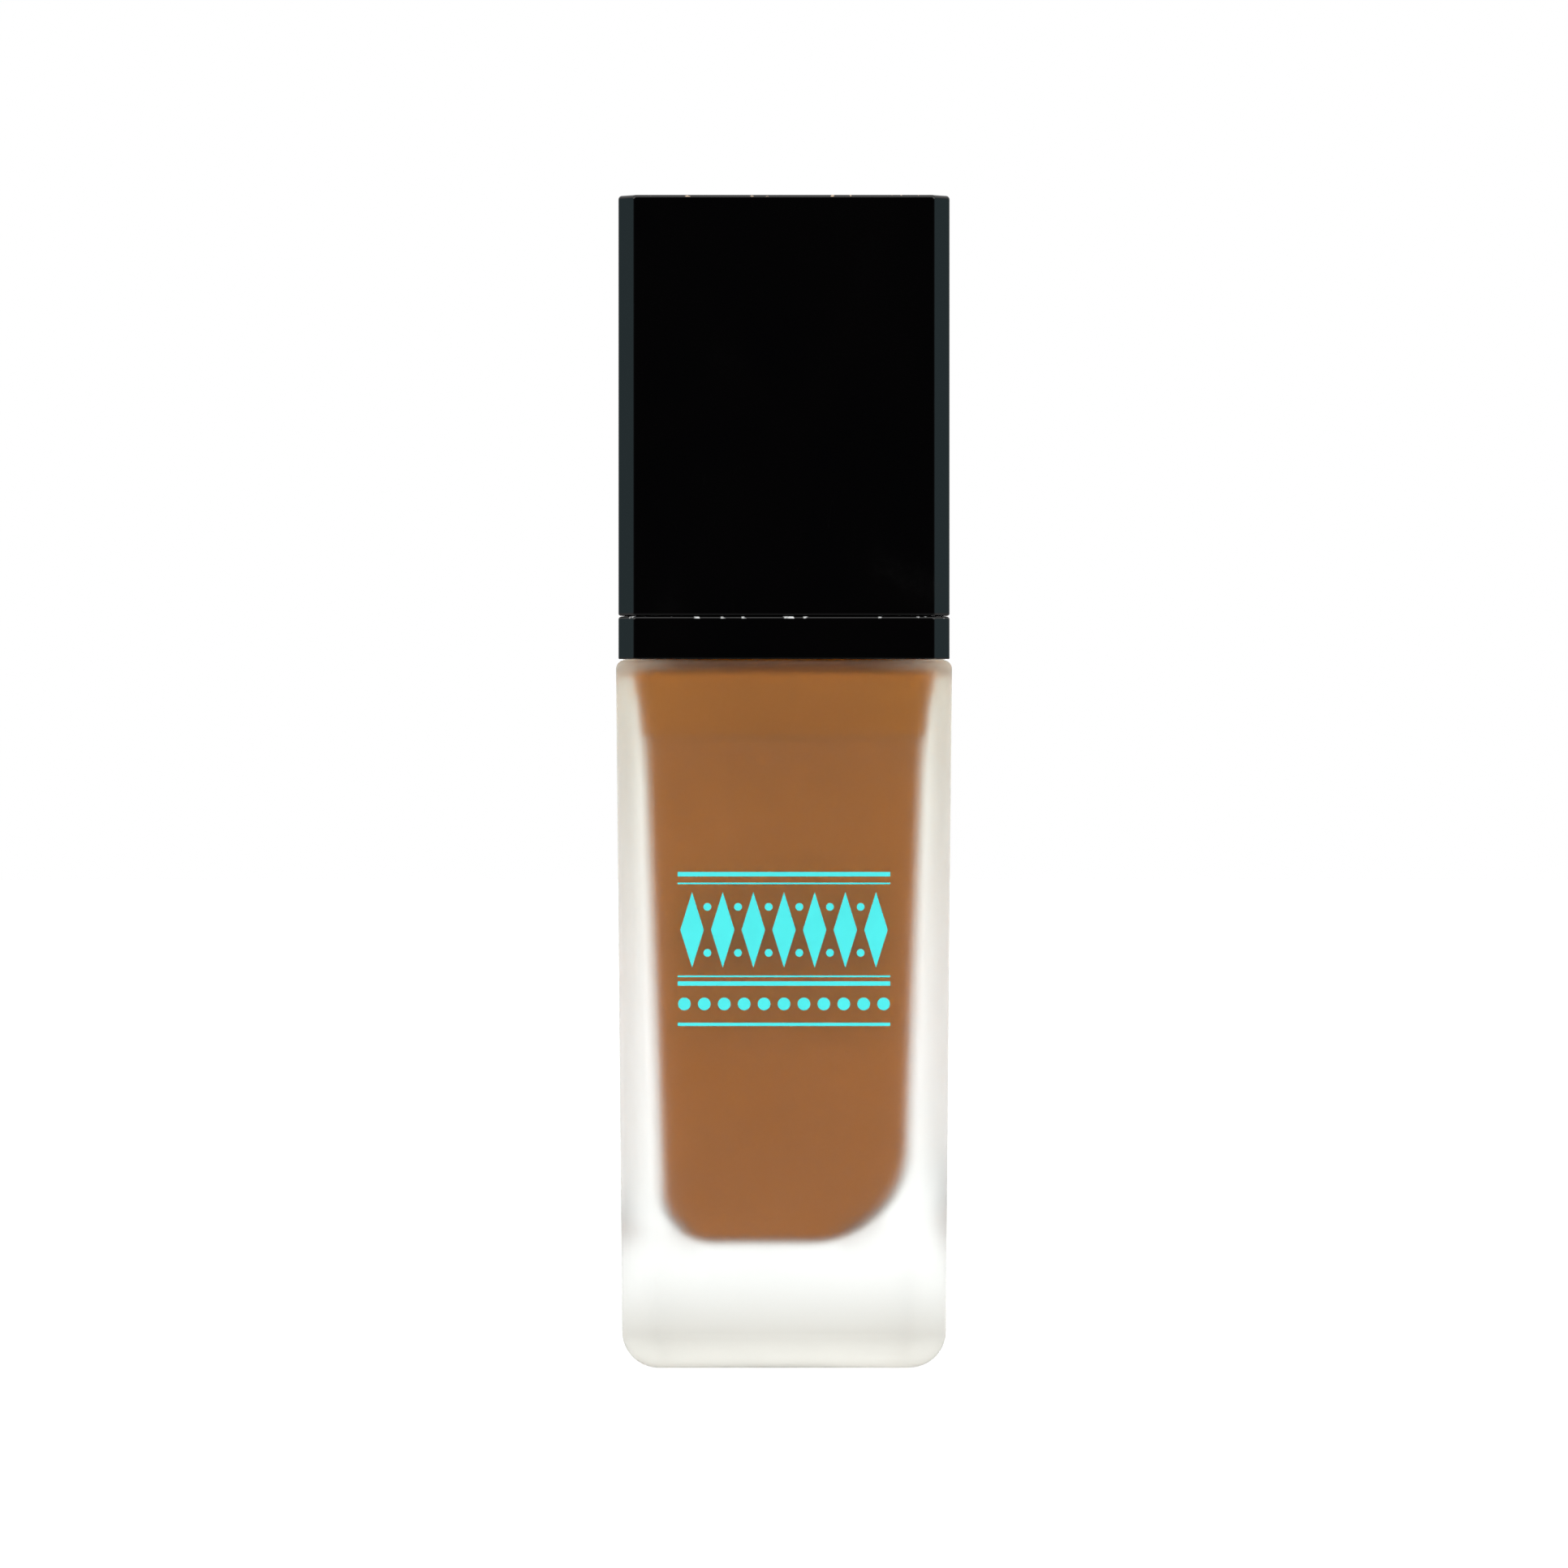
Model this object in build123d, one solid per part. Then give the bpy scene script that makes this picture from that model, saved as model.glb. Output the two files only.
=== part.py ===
from build123d import *
import math
import os

# A 30 ml foundation bottle: a square glass bottle with a thick base and a round screw neck, a lotion
# pump clamped on that neck, a square collar, and a tall square cap that clicks on the collar.
# Millimetres, +Z up. The origin is the middle of the bottle's foot, every round piece is on Z, and
# the pump's nozzle points to -Y, the front.

# ---------------------------------------------------------------- driving dimensions
BODY_WIDTH = 33.0            # glass, across the flats just under the shoulder
BODY_BASE_WIDTH = 31.8       # glass, across the flats at the foot
BODY_HEIGHT = 69.6           # foot to shoulder
BASE_THICKNESS = 12.3        # solid glass under the liquid
CAP_WIDTH = 32.5             # collar and cap, across the flats
CAP_CHAMFER = 1.6            # their vertical corners
CAP_HEIGHT = 41.2
CAP_WALL = 1.6
COLLAR_HEIGHT = 4.2          # the square band that shows
NECK_HEIGHT = 11.0
THREAD_PITCH = 3.175         # 8 threads per inch, as on 20 mm necks
PUMP_STROKE = 5.0
GAP = 0.05                   # between pieces that touch in use and are modelled apart

# ---------------------------------------------------------------- heights worked out from them
PLINTH_HEIGHT = 2.6          # round step between shoulder and neck, inside the collar
COLLAR_FOOT = BODY_HEIGHT + GAP
COLLAR_TOP = COLLAR_FOOT + COLLAR_HEIGHT
CAP_FOOT = COLLAR_TOP + GAP
CAP_TOP = CAP_FOOT + CAP_HEIGHT
CAP_ROOF = CAP_TOP - 1.8               # underside of the cap's top wall
PLINTH_TOP = BODY_HEIGHT + PLINTH_HEIGHT
NECK_TOP = PLINTH_TOP + NECK_HEIGHT
FLANGE_FOOT = NECK_TOP + 0.8           # the gasket is 0.8 thick
FLANGE_TOP = FLANGE_FOOT + 1.2
RING_TOP = FLANGE_TOP + 2.8            # the housing's upper ring, which holds the lock ring
LOCK_TOP = RING_TOP + 0.9
CLOSURE_TOP = FLANGE_TOP + GAP + 1.2
SKIRT_FOOT = CLOSURE_TOP + PUMP_STROKE + 0.55   # the head's skirt, with the pump up
UPSTAND_TOP = SKIRT_FOOT + 1.5
SNAP_HEIGHT = COLLAR_TOP + 4.05        # middle of the collar's snap bead and of the cap's groove
HEAD_TOP = SKIRT_FOOT + 16.4
HEAD_ROOF = HEAD_TOP - 1.6             # underside of the head's top wall
SPOUT_HEIGHT = HEAD_TOP - 5.4
CORE_FOOT = LOCK_TOP + PUMP_STROKE + 0.3
STEM_TOP = CORE_FOOT + 4.8

# ---------------------------------------------------------------- the glass
BODY_CORNER = 3.3            # upright corners at the shoulder
BODY_BASE_CORNER = 3.9       # upright corners at the foot
HEEL_RADIUS = 3.6
SHOULDER_RADIUS = 0.9
SHOULDER_WALL = 1.0          # glass over the chamber
PLINTH_WALL = 1.3            # round the chamber's dome
DOME_WALL = 1.4              # over it
CHAMBER_WIDTH = 24.6         # across the flats at its floor, before the heels are rounded
CHAMBER_TAPER = 0.069        # its widening for each millimetre of height
CHAMBER_ROUND = 1.4          # along its upright corners and round the front and back of its floor
FLARE_FOOT = BODY_HEIGHT - 12.6        # from here up its walls also curve outwards
FLARE_RADIUS = 95.0
HEEL_LEFT = 5.5              # where its side walls meet its floor, uneven as blown glass is
HEEL_RIGHT = 10.0
PUNT_RADIUS = 10.5           # the shallow hollow under the foot
PUNT_DEPTH = 0.5
PLINTH_RADIUS = 14.7
NECK_RADIUS = 8.75           # root of the glass thread
NECK_CREST = 9.85
NECK_BORE = 5.3
NECK_TURNS = 1.25
NECK_BEAD_TOP = NECK_TOP - 1.9         # where the glass bead runs out under the rim
NECK_BEAD_START = NECK_BEAD_TOP - NECK_TURNS * THREAD_PITCH
LIQUID_LEVEL = BODY_HEIGHT + 0.7

# ---------------------------------------------------------------- the pump's inside, heights
LEDGE = NECK_TOP - 20.2                 # floor of the pump's bore, where the spring stands
BALL_ROOM_FOOT = LEDGE - 6.0
HOUSING_PORT = LEDGE - 7.0              # end stop of the dip tube
SPIGOT_FOOT = HOUSING_PORT - 6.0
SEAT_TOP = LEDGE - 3.6
SEAT_FOOT = LEDGE - 5.2
RETAINER_TOP = LEDGE + 1.0
ROD_FOOT = RETAINER_TOP + 12.0          # the spring is 12 long with the pump up
CONE_FOOT = ROD_FOOT + 1.0
CONE_TOP = CONE_FOOT + 1.6
STOP_HEIGHT = FLANGE_TOP - 1.0          # underside of the lock ring's guide
SHOULDER_FOOT = STOP_HEIGHT - 0.9       # underside of the stem's stop shoulder
STEM_FOOT = STOP_HEIGHT - 3.6
ROD_TOP = STOP_HEIGHT + 4.0
PISTON_FLOAT = 0.6                      # lost motion of the piston on the stem, which opens the port
DIP_TUBE_FOOT = BASE_THICKNESS + 0.6

# ---------------------------------------------------------------- the pump's radii
TUBE_RADIUS = 1.5
TUBE_BORE = 1.0
SPIGOT_RADIUS = 2.5
BALL_ROOM_RADIUS = 3.4
BARREL_RADIUS = 4.6
CYLINDER_RADIUS = 3.6        # the pump's bore
FLANGE_RADIUS = 8.4
RING_RADIUS = 6.6
RING_BORE = 5.2
SEAT_RADIUS = 2.3
BALL_RADIUS = 1.6
SPRING_RADIUS = 2.65         # middle of the wire
WIRE_RADIUS = 0.27
STEM_RADIUS = 2.2
STEM_BORE = 1.27
ROD_RADIUS = 1.25
CONE_RADIUS = 2.4
PISTON_MOUTH = 1.75
PISTON_BODY = 3.3
LIP_RADIUS = CYLINDER_RADIUS - 0.03

# ---------------------------------------------------------------- closure, collar, head and cap
CLOSURE_BORE = 10.1
CLOSURE_CREST = 9.0
CLOSURE_RADIUS = 11.3
CLOSURE_HOLE = 6.75          # over the housing's upper ring
CLOSURE_DROP = 1.34          # from the glass bead's middle down to the closure's bead under it
UPSTAND_RADIUS = 12.6
UPSTAND_BORE = 10.4
COLLAR_MOUTH = 8.1           # round the head's skirt
HEAD_RADIUS = 7.6
HEAD_BORE = 6.75
DISH_RADIUS = 24.0           # the finger rest on top of the head
DISH_DEPTH = 0.7
CORE_RADIUS = 3.4
BOSS_RADIUS = 3.1
SPOUT_RADIUS = 2.5
SPOUT_TAIL = 1.93            # the part pressed into the head's core
SPOUT_BORE = 0.75
SPOUT_ROOT = 3.6             # from the axis to where the nozzle seats in the head's core
SPOUT_SHOULDER = 5.75        # from the axis to its stop shoulder
SPOUT_TIP = 12.0             # from the axis to its tip
LINER_BORE = 12.8
LINER_WALL = 1.1
FIN_THICKNESS = 1.0

FROM_BELOW = (Align.CENTER, Align.CENTER, Align.MIN)


def rounded_square(width, radius, z):
    """A square face with rounded corners, level, at height z."""
    return Plane.XY.offset(z) * RectangleRounded(width, width, radius)


def disc(radius, z_low, z_high):
    """A plain cylinder on Z between two heights."""
    return Pos(0, 0, z_low) * Cylinder(radius, z_high - z_low, align=FROM_BELOW)


def tube(bore, radius, z_low, z_high):
    """A round sleeve on Z between two heights."""
    return disc(radius, z_low, z_high) - disc(bore, z_low, z_high)


def forward_bar(radius, start, end):
    """A cylinder at the nozzle's height, running to the front between two distances from the axis."""
    bar = Cylinder(radius, end - start, align=FROM_BELOW)
    return Pos(0, -start, SPOUT_HEIGHT) * Rot(90, 0, 0) * bar


def turned(*points):
    """A solid turned about Z from its half section, given as (radius, height) points."""
    wire = Polyline(*[(radius, 0, height) for radius, height in points], close=True)
    return revolve(make_face(wire), Axis.Z)


def edges_at(solid, z):
    """The solid's edges that lie level at height z."""
    return solid.edges().filter_by_position(Axis.Z, z - 0.001, z + 0.001)


def helical_bead(turns, z_start, wall, crest, root_width, crest_width):
    """One thread bead: a trapezium swept up a right-hand helix, rooted 0.15 inside the wall."""
    root = wall + math.copysign(0.15, wall - crest)
    helix = Helix(pitch=THREAD_PITCH, height=turns * THREAD_PITCH, radius=wall, center=(0, 0, z_start))
    outline = Polyline(
        (root, -root_width / 2),
        (crest, -crest_width / 2),
        (crest, crest_width / 2),
        (root, root_width / 2),
        close=True,
    )
    section_plane = Plane(origin=(0, 0, z_start), x_dir=(1, 0, 0), z_dir=helix % 0)
    return sweep(section_plane * make_face(outline), path=helix, is_frenet=True)


# ---------------------------------------------------------------- the bottle and what is in it

def chamber_profile(floor, roof, gap):
    """The chamber seen square to a wall: a tapered outline whose walls curve out under the shoulder."""
    slope = CHAMBER_TAPER / 2
    foot = CHAMBER_WIDTH / 2 - gap
    knee = foot + slope * (FLARE_FOOT - floor)
    rise = roof - FLARE_FOOT
    top = knee + slope * rise + rise ** 2 / (2 * FLARE_RADIUS)
    return make_face([
        Line((-foot, floor), (foot, floor)),
        Line((foot, floor), (knee, FLARE_FOOT)),
        TangentArc((knee, FLARE_FOOT), (top, roof), tangent=(slope, 1)),
        Line((top, roof), (-top, roof)),
        TangentArc((-knee, FLARE_FOOT), (-top, roof), tangent=(-slope, 1)),
        Line((-knee, FLARE_FOOT), (-foot, floor)),
    ])


def chamber(gap=0.0):
    """The room inside the glass up to the neck's bore, shrunk by gap on every side."""
    floor = BASE_THICKNESS + gap
    roof = BODY_HEIGHT - SHOULDER_WALL - gap
    side_view = chamber_profile(floor, roof, gap)
    front_view = side_view
    for end, heel in ((0, HEEL_LEFT), (-1, HEEL_RIGHT)):
        floor_corners = front_view.vertices().filter_by_position(Axis.Y, floor - 0.001, floor + 0.001)
        front_view = fillet(floor_corners.sort_by(Axis.X)[end], heel - gap)
    room = extrude(Plane.XZ * front_view, BODY_WIDTH, both=True)
    room &= extrude(Plane.YZ * side_view, BODY_WIDTH, both=True)
    below_roof = room.edges().filter_by_position(Axis.Z, 0, roof - 1)
    room = fillet([edge for edge in below_roof if abs(edge.center().Y) > 8], CHAMBER_ROUND - gap)
    room = fillet(edges_at(room, roof), 0.8 - gap)
    dome_top = PLINTH_TOP - DOME_WALL - gap
    dome = disc(PLINTH_RADIUS - PLINTH_WALL - gap, BODY_HEIGHT - 5, dome_top)
    return room + fillet(edges_at(dome, dome_top), 0.9 - gap)


def glass_bottle():
    """Square glass body with a thick base, a round plinth and a screw neck."""
    body = loft([
        rounded_square(BODY_BASE_WIDTH, BODY_BASE_CORNER, 0),
        rounded_square(BODY_WIDTH, BODY_CORNER, BODY_HEIGHT),
    ])
    body = fillet(edges_at(body, 0), HEEL_RADIUS)
    body = fillet(edges_at(body, BODY_HEIGHT), SHOULDER_RADIUS)
    body += disc(PLINTH_RADIUS, BODY_HEIGHT - 1, PLINTH_TOP)
    neck = disc(NECK_RADIUS, PLINTH_TOP - 1, NECK_TOP)
    body += fillet(edges_at(neck, NECK_TOP), 0.5)
    body -= chamber()
    body -= disc(NECK_BORE, BODY_HEIGHT, NECK_TOP)
    body -= disc(PUNT_RADIUS, 0, PUNT_DEPTH)
    return body + helical_bead(NECK_TURNS, NECK_BEAD_START, NECK_RADIUS, NECK_CREST, 2.1, 1.0)


def dip_tube():
    """Tube from the housing's spigot to just above the chamber's floor, cut on a slant."""
    straight = tube(TUBE_BORE, TUBE_RADIUS, DIP_TUBE_FOOT, HOUSING_PORT)
    waste = Box(10, 10, 4, align=(Align.CENTER, Align.CENTER, Align.MAX))
    return straight - Pos(TUBE_RADIUS, 0, DIP_TUBE_FOOT) * Rot(0, 30, 0) * waste


def foundation_liquid():
    """The liquid: the chamber up to the plinth, less the pump and the tube that stand in it."""
    fill = chamber(gap=GAP) & disc(BODY_WIDTH, 0, LIQUID_LEVEL)
    sleeve = tube(TUBE_BORE - GAP, TUBE_RADIUS + GAP, DIP_TUBE_FOOT - 0.1, SPIGOT_FOOT)
    pump = turned(
        (0, SPIGOT_FOOT - GAP), (SPIGOT_RADIUS + GAP, SPIGOT_FOOT - GAP),
        (SPIGOT_RADIUS + GAP, BALL_ROOM_FOOT - 0.4), (BALL_ROOM_RADIUS + GAP, BALL_ROOM_FOOT + 0.4),
        (BALL_ROOM_RADIUS + GAP, LEDGE - 0.8), (BARREL_RADIUS + GAP, LEDGE + 0.1),
        (BARREL_RADIUS + GAP, LIQUID_LEVEL + 1), (0, LIQUID_LEVEL + 1),
    )
    column_in_tube = disc(TUBE_BORE - GAP, SPIGOT_FOOT - 1, HOUSING_PORT - GAP)
    return fill - sleeve - (pump - column_in_tube)


# ---------------------------------------------------------------- the pump

def pump_housing():
    """Cylinder with the inlet spigot, the ball's seat, the flange and the upper ring."""
    socket = TUBE_RADIUS + 0.02
    shell = turned(
        (socket, SPIGOT_FOOT), (SPIGOT_RADIUS, SPIGOT_FOOT), (SPIGOT_RADIUS, BALL_ROOM_FOOT - 0.4),
        (BALL_ROOM_RADIUS, BALL_ROOM_FOOT + 0.4), (BALL_ROOM_RADIUS, LEDGE - 0.8),
        (BARREL_RADIUS, LEDGE + 0.2), (BARREL_RADIUS, FLANGE_FOOT), (FLANGE_RADIUS, FLANGE_FOOT),
        (FLANGE_RADIUS, FLANGE_TOP), (RING_RADIUS, FLANGE_TOP), (RING_RADIUS, RING_TOP),
        (RING_BORE, RING_TOP), (RING_BORE, FLANGE_TOP), (CYLINDER_RADIUS, FLANGE_TOP),
        (CYLINDER_RADIUS, LEDGE), (SEAT_RADIUS, LEDGE), (SEAT_RADIUS, SEAT_TOP),
        (TUBE_BORE, SEAT_FOOT), (TUBE_BORE, HOUSING_PORT), (socket, HOUSING_PORT),
    )
    vent = Pos(BARREL_RADIUS, 0, NECK_TOP - 1.7) * Rot(0, 90, 0) * Cylinder(0.4, 3)
    return shell - vent


def check_ball():
    """Inlet valve ball, resting in its cone."""
    half_angle = math.atan2(SEAT_RADIUS - TUBE_BORE, SEAT_TOP - SEAT_FOOT)
    apex = SEAT_FOOT - TUBE_BORE / math.tan(half_angle)
    return Pos(0, 0, apex + BALL_RADIUS / math.sin(half_angle) + 0.03) * Sphere(BALL_RADIUS)


def ball_retainer():
    """Ring on the ledge with a three-armed spider and the pin that stops the ball."""
    spider = tube(SEAT_RADIUS - 0.1, CYLINDER_RADIUS - GAP, LEDGE, RETAINER_TOP)
    arm = Pos(1.3, 0, LEDGE + 0.5) * Box(2.6, 0.8, 1.0)
    for third in range(3):
        spider += Rot(0, 0, 120 * third) * arm
    return spider + disc(0.6, LEDGE - 1.0, RETAINER_TOP)


def return_spring():
    """Steel compression spring with its end coils ground flat."""
    wound = ROD_FOOT - RETAINER_TOP + WIRE_RADIUS
    foot = RETAINER_TOP - WIRE_RADIUS / 2
    helix = Helix(pitch=wound / 6.5, height=wound, radius=SPRING_RADIUS, center=(0, 0, foot))
    section = Plane(origin=helix @ 0, x_dir=(1, 0, 0), z_dir=helix % 0) * Circle(WIRE_RADIUS)
    coil = sweep(section, path=helix, is_frenet=True)
    return coil & disc(BARREL_RADIUS, RETAINER_TOP, ROD_FOOT)


def piston_rod():
    """Spring seat with flow notches, valve cone, and a flatted shank that plugs into the stem."""
    pilot, seat = 2.2, 3.0
    rod = turned(
        (0, ROD_FOOT - 1.2), (pilot, ROD_FOOT - 1.2), (pilot, ROD_FOOT), (seat, ROD_FOOT),
        (seat, CONE_FOOT), (CONE_RADIUS, CONE_FOOT), (ROD_RADIUS, CONE_TOP), (ROD_RADIUS, ROD_TOP),
        (0, ROD_TOP),
    )
    notch = Pos(seat, 0, ROD_FOOT + 0.5) * Cylinder(0.6, 1.2)
    for quarter in range(4):
        rod -= Rot(0, 0, 90 * quarter) * notch
    for side in (-1, 1):
        rod -= Pos(side * (ROD_RADIUS + 0.6), 0, CONE_TOP + 6) * Box(2, 4, 11)
    return rod


def piston():
    """Seal with two lips on the bore, a mouth that closes on the rod's cone, and a sleeve on the stem."""
    cone_slope = (CONE_RADIUS - ROD_RADIUS) / (CONE_TOP - CONE_FOOT)
    foot = CONE_FOOT + (CONE_RADIUS - PISTON_MOUTH) / cone_slope + 0.03
    step = foot + 2.0
    top = SHOULDER_FOOT - PISTON_FLOAT - 0.15
    bore = STEM_RADIUS + 0.05
    return turned(
        (PISTON_MOUTH, foot), (2.75, foot), (3.25, foot - 0.6), (LIP_RADIUS, foot - 0.6),
        (PISTON_BODY, foot + 1.0), (PISTON_BODY, top - 1.6), (LIP_RADIUS, top), (3.25, top),
        (2.85, top - 1.0), (2.65, top), (bore, top), (bore, step), (PISTON_MOUTH, step),
    )


def stem():
    """Hollow stem with the shoulder that stops it under the lock ring."""
    hollow = tube(STEM_BORE, STEM_RADIUS, STEM_FOOT, STEM_TOP)
    return hollow + tube(STEM_BORE, 3.1, SHOULDER_FOOT, STOP_HEIGHT - GAP)


def lock_ring():
    """Plug that closes the housing, guides the stem and stops its shoulder."""
    guide = STEM_RADIUS + 0.08
    plug = CYLINDER_RADIUS - 0.1
    snap = RING_BORE - 0.04
    return turned(
        (guide, STOP_HEIGHT), (plug, STOP_HEIGHT), (plug, RING_TOP - 0.6), (4.2, RING_TOP - 0.6),
        (4.2, FLANGE_TOP + 0.1), (snap, FLANGE_TOP + 0.1), (snap, RING_TOP), (RING_RADIUS, RING_TOP),
        (RING_RADIUS, LOCK_TOP), (guide, LOCK_TOP),
    )


def neck_gasket():
    """Flat washer between the neck's rim and the housing's flange."""
    return tube(NECK_BORE + GAP, FLANGE_RADIUS + 0.1, NECK_TOP, FLANGE_FOOT)


# ---------------------------------------------------------------- closure and collar

def screw_closure():
    """Threaded ring that clamps the housing's flange on the neck."""
    ring = tube(CLOSURE_BORE, CLOSURE_RADIUS, PLINTH_TOP + 0.9, CLOSURE_TOP)
    ring += tube(CLOSURE_HOLE, CLOSURE_RADIUS, FLANGE_TOP + GAP, CLOSURE_TOP)
    return ring + helical_bead(1.0, NECK_BEAD_START - CLOSURE_DROP, CLOSURE_BORE, CLOSURE_CREST, 1.8, 0.7)


def square_section(z):
    """The section that collar and cap share: a square with flat corners, its edges just broken."""
    half, inner = CAP_WIDTH / 2, CAP_WIDTH / 2 - CAP_CHAMFER
    outline = (
        (half, -inner), (half, inner), (inner, half), (-inner, half),
        (-half, inner), (-half, -inner), (-inner, -half), (inner, -half),
    )
    face = make_face(Polyline(*outline, close=True))
    return Plane.XY.offset(z) * fillet(face.vertices(), 0.45)


def shoulder_collar():
    """Square band round the plinth with the round upstand that the cap clicks on."""
    band = extrude(square_section(COLLAR_FOOT), COLLAR_HEIGHT)
    band = fillet(edges_at(band, COLLAR_TOP), 0.3)
    band = fillet(edges_at(band, COLLAR_FOOT), 0.15)
    upstand = disc(UPSTAND_RADIUS, COLLAR_TOP - 1, UPSTAND_TOP)
    upstand = fillet(edges_at(upstand, UPSTAND_TOP), 0.6)
    root, crest = UPSTAND_RADIUS - 0.4, UPSTAND_RADIUS + 0.12
    snap = turned(
        (root, SNAP_HEIGHT - 0.65), (crest, SNAP_HEIGHT - 0.15),
        (crest, SNAP_HEIGHT + 0.15), (root, SNAP_HEIGHT + 0.65),
    )
    collar = band + upstand + snap
    collar -= disc(PLINTH_RADIUS + 0.3, COLLAR_FOOT, PLINTH_TOP + 0.4)
    collar -= disc(CLOSURE_RADIUS + GAP, PLINTH_TOP, CLOSURE_TOP + GAP)
    collar -= disc(UPSTAND_BORE, CLOSURE_TOP, UPSTAND_TOP - 1.2)
    collar -= disc(COLLAR_MOUTH, CLOSURE_TOP, UPSTAND_TOP)
    mouth_edge = edges_at(collar, UPSTAND_TOP).filter_by(GeomType.CIRCLE).sort_by(SortBy.RADIUS)[0]
    return fillet(mouth_edge, 0.4)


# ---------------------------------------------------------------- the press head

def actuator_core():
    """Inner body of the head: stem socket, channel, nozzle boss, and ribs up to a seat under the roof."""
    core = disc(CORE_RADIUS, CORE_FOOT, HEAD_ROOF)
    core += disc(HEAD_BORE - GAP, HEAD_ROOF - 1.2, HEAD_ROOF - GAP)
    rib = Pos(4.8, 0, HEAD_ROOF - 4) * Box(3.7, 0.9, 6.0)
    for quarter in range(4):
        core += Rot(0, 0, 45 + 90 * quarter) * rib
    core += forward_bar(BOSS_RADIUS, 0, 5.7)
    core -= disc(STEM_RADIUS + 0.04, CORE_FOOT, STEM_TOP + 0.1)
    core -= disc(TUBE_BORE, STEM_TOP, SPOUT_HEIGHT)
    core -= forward_bar(0.9, 0, HEAD_BORE)
    return core - forward_bar(SPOUT_TAIL + 0.02, SPOUT_ROOT, HEAD_BORE)


def actuator_shell():
    """Cover of the head: a round cup, dished on top for the finger, with a window for the nozzle."""
    shell = turned(
        (HEAD_BORE, SKIRT_FOOT), (HEAD_RADIUS, SKIRT_FOOT), (HEAD_RADIUS, HEAD_TOP), (0, HEAD_TOP),
        (0, HEAD_ROOF), (HEAD_BORE, HEAD_ROOF),
    )
    shell = fillet(edges_at(shell, HEAD_TOP), 0.8)
    shell -= Pos(0, 0, HEAD_TOP + DISH_RADIUS - DISH_DEPTH) * Sphere(DISH_RADIUS)
    return shell - forward_bar(SPOUT_RADIUS + 0.1, 0, SPOUT_TIP)


def nozzle_spout():
    """Outlet tube: a tail pressed into the core, a stop shoulder, and a taper to the tip."""
    section = Polyline(
        (SPOUT_BORE, SPOUT_ROOT), (SPOUT_TAIL, SPOUT_ROOT), (SPOUT_TAIL, SPOUT_SHOULDER),
        (SPOUT_RADIUS, SPOUT_SHOULDER), (SPOUT_RADIUS, 8.6), (2.0, SPOUT_TIP - 0.2), (1.8, SPOUT_TIP),
        (0.9, SPOUT_TIP), (SPOUT_BORE, SPOUT_TIP - 0.6), close=True,
    )
    barrel = revolve(make_face(section), Axis.Y)
    return Pos(0, 0, SPOUT_HEIGHT) * Rot(0, 0, 180) * barrel


# ---------------------------------------------------------------- the cap

def overcap_shell():
    """Tall square cap, hollow from below."""
    shell = extrude(square_section(CAP_FOOT), CAP_HEIGHT)
    shell = fillet(edges_at(shell, CAP_TOP), 0.4)
    shell = fillet(edges_at(shell, CAP_FOOT), 0.25)
    hollow = rounded_square(CAP_WIDTH - 2 * CAP_WALL, 1.2, CAP_FOOT)
    return shell - extrude(hollow, CAP_ROOF - CAP_FOOT)


def overcap_liner():
    """Sleeve that grips the upstand, with a square foot flange and fins that centre it in the shell."""
    flange_foot = CAP_FOOT + 0.5
    liner = extrude(rounded_square(CAP_WIDTH - 2 * CAP_WALL - 0.1, 1.1, flange_foot), 1.0)
    liner += disc(LINER_BORE + LINER_WALL, flange_foot, CAP_ROOF - 9.0)
    fin_root, fin_tip, fin_top = LINER_BORE + 0.6, 20.0, CAP_ROOF - 0.6
    outward = (Align.MIN, Align.CENTER, Align.MIN)
    fin = Box(fin_tip - fin_root, FIN_THICKNESS, fin_top - flange_foot, align=outward)
    for quarter in range(4):
        liner += Rot(0, 0, 45 + 90 * quarter) * Pos(fin_root, 0, flange_foot) * fin
    liner -= disc(LINER_BORE, flange_foot, CAP_ROOF)
    root, floor = LINER_BORE - 0.3, LINER_BORE + 0.15
    return liner - turned(
        (root, SNAP_HEIGHT - 0.9), (floor, SNAP_HEIGHT - 0.4),
        (floor, SNAP_HEIGHT + 0.4), (root, SNAP_HEIGHT + 0.9),
    )


PIECES = (
    glass_bottle, foundation_liquid, dip_tube,
    pump_housing, check_ball, ball_retainer, return_spring, piston_rod, piston, stem, lock_ring, neck_gasket,
    screw_closure, shoulder_collar,
    actuator_core, actuator_shell, nozzle_spout,
    overcap_shell, overcap_liner,
)

os.makedirs("parts", exist_ok=True)
for piece in PIECES:
    shape = piece()
    print(piece.__name__, len(shape.solids()), round(shape.volume, 2))
    export_step(shape, f"parts/{piece.__name__}.step")
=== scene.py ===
# %% [markdown]
# # A frosted foundation bottle
#
# This lesson dresses a 30 ml bottle of liquid foundation. Its nineteen pieces come from a packed
# construction model, at their real size and in their real places, and none of them is moved or
# reshaped. Two get stand-ins: the liquid, which should wet the glass here and there, and the pump's
# spring, which gets a copy of its own. The rest is what the eye judges first: frosted glass round an
# opaque liquid, polished black plastic, the plain mouldings of the pump, and a printed band.
# Lengths are in metres, +Z is up, the foot stands on z = 0, and the front faces -Y.

# %% Load the frame
import math

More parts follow.
